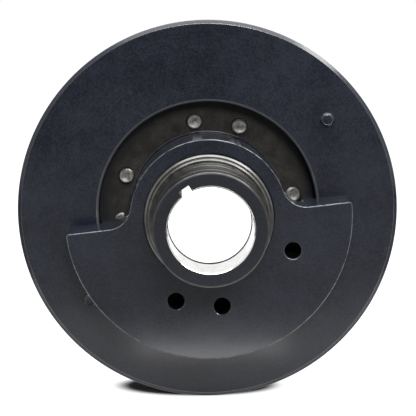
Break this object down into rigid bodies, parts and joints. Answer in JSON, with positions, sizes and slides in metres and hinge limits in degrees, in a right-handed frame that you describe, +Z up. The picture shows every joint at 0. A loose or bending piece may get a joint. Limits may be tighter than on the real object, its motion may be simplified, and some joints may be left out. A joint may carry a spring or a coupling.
{
  "type": "v belt pulley",
  "caption": "Crankshaft V-belt pulley with a keyed hub snout, a half-moon counterweight and a ring damper closed behind the disc face.",
  "frame": {"origin": "middle of the keyed bore's wall, on the shaft axis", "axes": "the shaft axis is Y: -Y towards the engine, +Y towards the belts; +Z up as the pulley stands in the picture"},
  "size_m": [0.2, 0.1086, 0.2],
  "materials": {
    "bare_steel": "turned and polished",
    "black_paint": "satin black",
    "screw_steel": "bright zinc",
    "iron_ring": "machined",
    "bush_bronze": "machined",
    "slide_plastic": "natural"
  },
  "bodies": {
    "pulley": {"hub": "bare_steel", "counterweight": "black_paint", "damper_cover": "black_paint", "belt_pulley": "black_paint", "damper_housing": "black_paint", "web_plate": "black_paint", "slide_bush": "bush_bronze", "screw_1": "screw_steel", "screw_2": "screw_steel", "screw_3": "screw_steel", "screw_4": "screw_steel", "screw_5": "screw_steel", "screw_6": "screw_steel", "screw_7": "screw_steel", "screw_8": "screw_steel", "washer_1": "screw_steel", "washer_2": "screw_steel", "washer_3": "screw_steel", "washer_4": "screw_steel", "washer_5": "screw_steel", "washer_6": "screw_steel", "washer_7": "screw_steel", "washer_8": "screw_steel", "fill_plug_1": "black_paint", "fill_plug_2": "black_paint"},
    "damper_mass": {"inertia_ring": "iron_ring", "thrust_ring_front": "slide_plastic", "thrust_ring_rear": "slide_plastic"}
  },
  "joints": [
    {"name": "damper_slip", "type": "hinge", "parent": "pulley", "child": "damper_mass", "pos_m": [0, 0.0721, 0], "axis": [0, -1, 0], "continuous": true}
  ]
}
